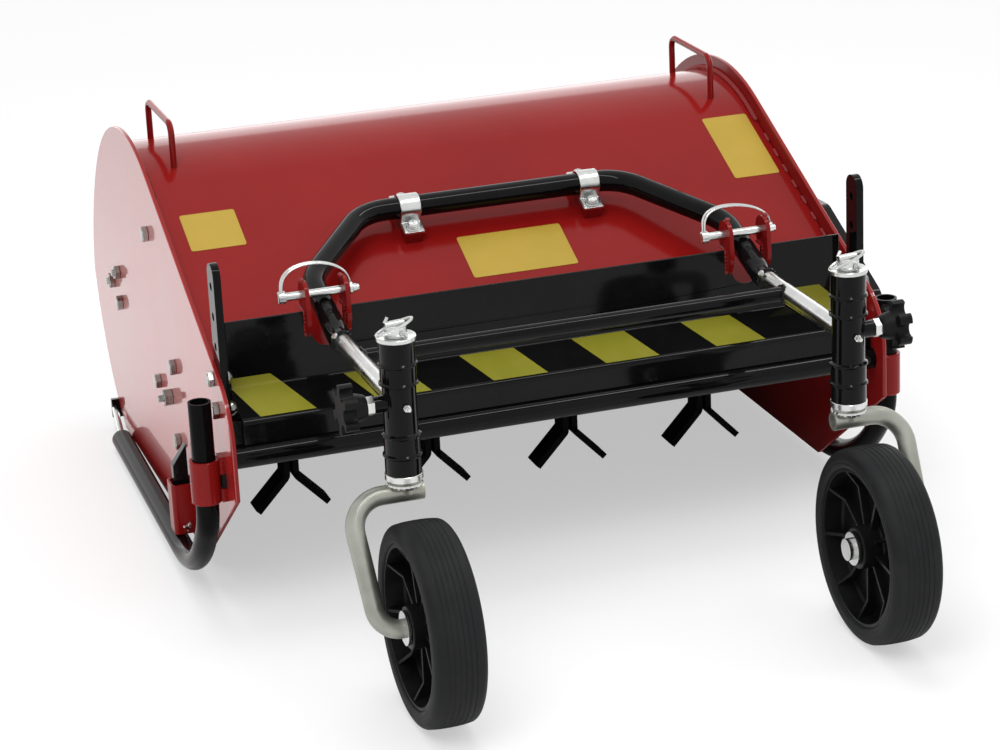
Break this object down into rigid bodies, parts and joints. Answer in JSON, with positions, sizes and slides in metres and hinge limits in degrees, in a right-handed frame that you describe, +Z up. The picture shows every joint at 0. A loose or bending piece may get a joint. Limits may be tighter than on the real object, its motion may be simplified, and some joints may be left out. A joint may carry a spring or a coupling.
{
  "type": "tractor mulcher",
  "caption": "Flail mulcher deck for a walk-behind tractor, with red hood, front guard, swivelling front wheels and side skids.",
  "frame": {"origin": "centre of the bounding box at ground level", "axes": "+X to the drive side, -Y forward towards the swivelling wheels, +Y towards the hitch, +Z up"},
  "size_m": [0.8909, 1.2539, 0.497],
  "materials": {
    "red_paint": "glossy red powder coat",
    "black_paint": "satin black powder coat",
    "zinc": "bright zinc plating",
    "bare_steel": "bare machined steel",
    "gear_iron": "cast iron under black paint",
    "rotor_black": "black painted forged steel",
    "black_plastic": "moulded black plastic",
    "tyre": "solid black rubber",
    "flap_rubber": "black rubber sheet"
  },
  "bodies": {
    "deck": {"side_plates": "red_paint", "hood_sheet": "red_paint", "lifting_handles": "red_paint", "rear_deflector": "red_paint", "ear_plates": "red_paint", "skid_guide": "red_paint", "skid_post": "black_paint", "skid_lugs": "black_paint", "skid_studs": "zinc", "saddle_pads": "red_paint", "skid_clamps": "red_paint", "front_guard": "black_paint", "guard_bar": "black_paint", "skid_tubes": "black_paint", "upright_bars": "black_paint", "drive_cover": "black_paint", "cross_tube": "black_paint", "flap_rod": "zinc", "gearbox_housing": "gear_iron", "hitch_spigot": "black_paint", "lock_pins": "zinc", "saddle_straps": "zinc", "bearing_housings": "gear_iron"},
    "rear_flap_body": {"rear_flap": "flap_rubber"},
    "input_shaft_body": {"input_shaft": "bare_steel"},
    "rotor": {"rotor_drum": "rotor_black", "flail_blades": "rotor_black"},
    "wheel_frame": {"wheel_frame_tube": "black_paint", "frame_cross_bar": "black_paint", "arm_tubes": "zinc", "caster_heads": "black_paint", "swivel_lock_knobs": "black_plastic", "swivel_lock_nuts": "zinc"},
    "left_caster": {"left_caster_fork": "zinc", "left_wheel_axle": "zinc"},
    "left_wheel": {"left_wheel_rim": "black_plastic", "left_wheel_tyre": "tyre"},
    "right_caster": {"right_caster_fork": "zinc", "right_wheel_axle": "zinc"},
    "right_wheel": {"right_wheel_rim": "black_plastic", "right_wheel_tyre": "tyre"}
  },
  "joints": [
    {"name": "rotor_spin", "type": "hinge", "parent": "deck", "child": "rotor", "pos_m": [0, 0.09807, 0.17853], "axis": [1, 0, 0], "continuous": true},
    {"name": "input_shaft_spin", "type": "hinge", "parent": "deck", "child": "input_shaft_body", "pos_m": [0, 0.55313, 0.22154], "axis": [0, 0.9998, -0.022], "continuous": true},
    {"name": "rear_flap_swing", "type": "hinge", "parent": "deck", "child": "rear_flap_body", "pos_m": [0, 0.35742, 0.14582], "axis": [1, 0, 0], "range_deg": [-4, 55]},
    {"name": "wheel_frame_swing", "type": "hinge", "parent": "deck", "child": "wheel_frame", "pos_m": [0, 0.03594, 0.40095], "axis": [1, 0, 0], "range_deg": [0, 5]},
    {"name": "left_caster_swivel", "type": "hinge", "parent": "wheel_frame", "child": "left_caster", "pos_m": [-0.262, -0.43571, 0.28528], "axis": [0, 0.022, 0.9998], "continuous": true},
    {"name": "left_wheel_spin", "type": "hinge", "parent": "left_caster", "child": "left_wheel", "pos_m": [-0.262, -0.51453, 0.11247], "axis": [1, 0, 0], "continuous": true},
    {"name": "right_caster_swivel", "type": "hinge", "parent": "wheel_frame", "child": "right_caster", "pos_m": [0.262, -0.43571, 0.28528], "axis": [0, 0.022, 0.9998], "continuous": true},
    {"name": "right_wheel_spin", "type": "hinge", "parent": "right_caster", "child": "right_wheel", "pos_m": [0.262, -0.51453, 0.11247], "axis": [1, 0, 0], "continuous": true}
  ]
}
